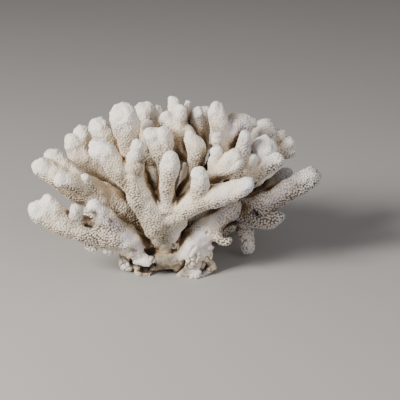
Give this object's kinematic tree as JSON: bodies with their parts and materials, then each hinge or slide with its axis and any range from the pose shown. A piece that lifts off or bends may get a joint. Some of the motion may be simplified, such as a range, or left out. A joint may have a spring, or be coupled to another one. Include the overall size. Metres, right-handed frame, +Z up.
{
  "type": "branching coral",
  "caption": "Dried branching coral skeleton with blunt, lumpy fingers, cut off flat at its foot so that it stands on a shelf or table as decoration.",
  "frame": {"origin": "on the flat foot that the coral rests on, below the trunk of the front fan", "axes": "+Z up from the foot; -Y towards the front, where the fan of fingers leans out; +X to the right of the front, along the longest side"},
  "size_m": [0.2362, 0.1667, 0.1473],
  "materials": {
    "holdfast_bone": "matt, rough, encrusted",
    "front_fan_bone": "matt, granular",
    "front_finger_bone": "matt, granular",
    "front_arm_bone": "matt, granular",
    "left_low_arm_bone": "matt, granular",
    "left_arm_bone": "matt, granular",
    "left_upper_arm_bone": "matt, granular",
    "left_tall_finger_bone": "matt, granular",
    "club_finger_bone": "matt, granular",
    "rear_club_bone": "matt, granular",
    "toothed_fork_bone": "matt, granular",
    "leaning_column_bone": "matt, granular",
    "paired_fingers_bone": "matt, granular",
    "web_limb_bone": "matt, granular",
    "leaf_fork_bone": "matt, granular",
    "right_arm_bone": "matt, granular",
    "right_rear_arm_bone": "matt, granular",
    "right_low_arm_bone": "matt, granular, darker",
    "back_left_arm_bone": "matt, granular",
    "back_middle_arm_bone": "matt, granular",
    "back_right_arm_bone": "matt, granular",
    "back_left_low_arm_bone": "matt, granular",
    "back_right_low_arm_bone": "matt, granular",
    "back_crown_bone": "matt, granular"
  },
  "bodies": {
    "root": {"holdfast": "holdfast_bone", "front_fan": "front_fan_bone", "front_finger": "front_finger_bone", "front_arm": "front_arm_bone", "left_low_arm": "left_low_arm_bone", "left_arm": "left_arm_bone", "left_upper_arm": "left_upper_arm_bone", "left_tall_finger": "left_tall_finger_bone", "club_finger": "club_finger_bone", "rear_club": "rear_club_bone", "toothed_fork": "toothed_fork_bone", "leaning_column": "leaning_column_bone", "paired_fingers": "paired_fingers_bone", "web_limb": "web_limb_bone", "leaf_fork": "leaf_fork_bone", "right_arm": "right_arm_bone", "right_rear_arm": "right_rear_arm_bone", "right_low_arm": "right_low_arm_bone", "back_left_arm": "back_left_arm_bone", "back_middle_arm": "back_middle_arm_bone", "back_right_arm": "back_right_arm_bone", "back_left_low_arm": "back_left_low_arm_bone", "back_right_low_arm": "back_right_low_arm_bone", "back_crown": "back_crown_bone"}
  },
  "joints": []
}
